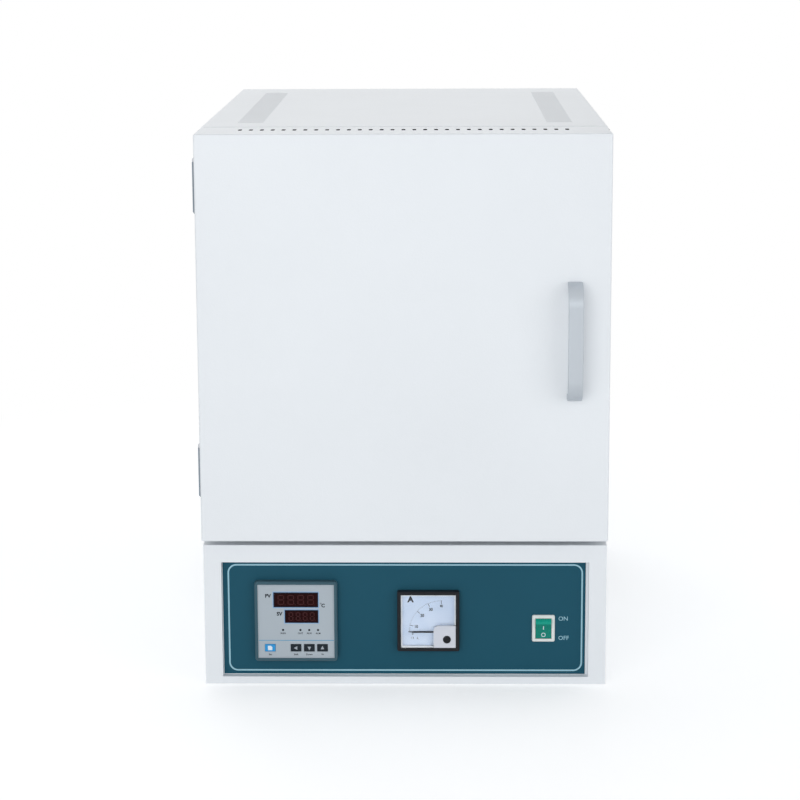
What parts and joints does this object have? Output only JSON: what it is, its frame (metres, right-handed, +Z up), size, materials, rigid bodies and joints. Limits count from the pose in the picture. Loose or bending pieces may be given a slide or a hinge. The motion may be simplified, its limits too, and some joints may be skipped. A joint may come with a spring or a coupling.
{
  "type": "muffle furnace",
  "caption": "Bench box muffle furnace: side-hung insulated door over a control box with temperature controller, ammeter and rocker switch.",
  "frame": {"origin": "middle of the flat underside of the base, on the surface that the furnace stands on", "axes": "+Z up, +X to the right seen from the front, +Y from the front to the back; the door faces -Y"},
  "size_m": [0.4808, 0.688, 0.643],
  "materials": {
    "white_paint": "satin",
    "teal_print": "satin",
    "zinc_steel": "satin",
    "stainless": "satin",
    "firebrick": "matte",
    "hearth_carbide": "matte",
    "fibre_board": "matte",
    "fibre_rope": "matte",
    "element_wire": "matte",
    "porcelain": "gloss",
    "brass": "satin",
    "chrome": "polished",
    "screw_steel": "satin",
    "anodised_aluminium": "satin",
    "black_plastic": "matte",
    "bezel_plastic": "satin",
    "face_film": "satin",
    "display_red": "gloss",
    "key_plastic": "satin",
    "dial_card": "matte",
    "clear_cover": "polished",
    "white_plastic": "gloss",
    "green_rocker": "gloss"
  },
  "bodies": {
    "cabinet": {"base_tray": "zinc_steel", "side_panel_left": "white_paint", "side_panel_right": "white_paint", "top_panel": "white_paint", "rear_panel": "white_paint", "service_cover": "white_paint", "bay_roof": "white_paint", "control_fascia": "white_paint", "front_frame": "white_paint", "mouth_bricks": "firebrick", "chamber_floor": "firebrick", "chamber_roof": "firebrick", "chamber_back": "firebrick", "element_plates": "firebrick", "heating_elements": "element_wire", "hearth_plate": "hearth_carbide", "insulation_boards": "fibre_board", "core_case": "zinc_steel", "core_stands": "zinc_steel", "thermocouple": "porcelain", "element_bushings": "porcelain", "element_clamps": "brass", "hinge_body_leaves": "chrome", "hinge_pins": "chrome", "cabinet_screws": "screw_steel", "magnetic_catch": "black_plastic", "safety_switch": "black_plastic", "control_panel": "white_paint", "panel_overlay": "teal_print", "controller_bezel": "bezel_plastic", "controller_face": "face_film", "pv_display": "display_red", "sv_display": "display_red", "controller_housing": "black_plastic", "meter_case": "black_plastic", "meter_dial": "dial_card", "meter_shroud": "white_plastic", "meter_cover": "clear_cover", "switch_housing": "white_plastic", "heat_sink": "anodised_aluminium", "power_module": "black_plastic", "terminal_block": "white_plastic", "cable_gland": "black_plastic"},
    "door": {"door_shell": "white_paint", "door_plug": "firebrick", "door_liner": "stainless", "door_insulation": "fibre_board", "door_gasket": "fibre_rope", "door_handle": "anodised_aluminium", "door_screws": "screw_steel", "hinge_door_leaves": "chrome", "catch_strike": "zinc_steel"},
    "safety_plunger": {"safety_plunger": "white_plastic"},
    "rocker": {"rocker": "green_rocker"},
    "meter_needle": {"meter_needle": "key_plastic"},
    "zero_screw": {"zero_screw": "black_plastic"},
    "key_set": {"key_set": "key_plastic"},
    "key_left": {"key_left": "key_plastic"},
    "key_down": {"key_down": "key_plastic"},
    "key_up": {"key_up": "key_plastic"}
  },
  "joints": [
    {"name": "door_hinge", "type": "hinge", "parent": "cabinet", "child": "door", "pos_m": [-0.2382, -0.2445, 0.4095], "axis": [0, 0, -1], "range_deg": [0, 120]},
    {"name": "safety_plunger_slide", "type": "slide", "parent": "cabinet", "child": "safety_plunger", "axis": [0, -1, 0], "range_m": [0, 0.003]},
    {"name": "rocker_tilt", "type": "hinge", "parent": "cabinet", "child": "rocker", "pos_m": [0.1606, -0.3028, 0.065], "axis": [-1, 0, 0], "range_deg": [0, 20]},
    {"name": "needle_swing", "type": "hinge", "parent": "cabinet", "child": "meter_needle", "pos_m": [0.0421, -0.3028, 0.061], "axis": [0, 1, 0], "range_deg": [0, 90]},
    {"name": "zero_screw_turn", "type": "hinge", "parent": "cabinet", "child": "zero_screw", "pos_m": [0.0485, -0.3098, 0.0532], "axis": [0, 1, 0], "range_deg": [-20, 20]},
    {"name": "key_set_press", "type": "slide", "parent": "cabinet", "child": "key_set", "axis": [0, 1, 0], "range_m": [0, 0.0005], "stiffness_N_per_m": 300},
    {"name": "key_left_press", "type": "slide", "parent": "cabinet", "child": "key_left", "axis": [0, 1, 0], "range_m": [0, 0.0005], "stiffness_N_per_m": 300},
    {"name": "key_down_press", "type": "slide", "parent": "cabinet", "child": "key_down", "axis": [0, 1, 0], "range_m": [0, 0.0005], "stiffness_N_per_m": 300},
    {"name": "key_up_press", "type": "slide", "parent": "cabinet", "child": "key_up", "axis": [0, 1, 0], "range_m": [0, 0.0005], "stiffness_N_per_m": 300}
  ],
  "couplings": [
    {"joint": "safety_plunger_slide", "follows": "door_hinge", "m_per_rad": 0.001431}
  ]
}
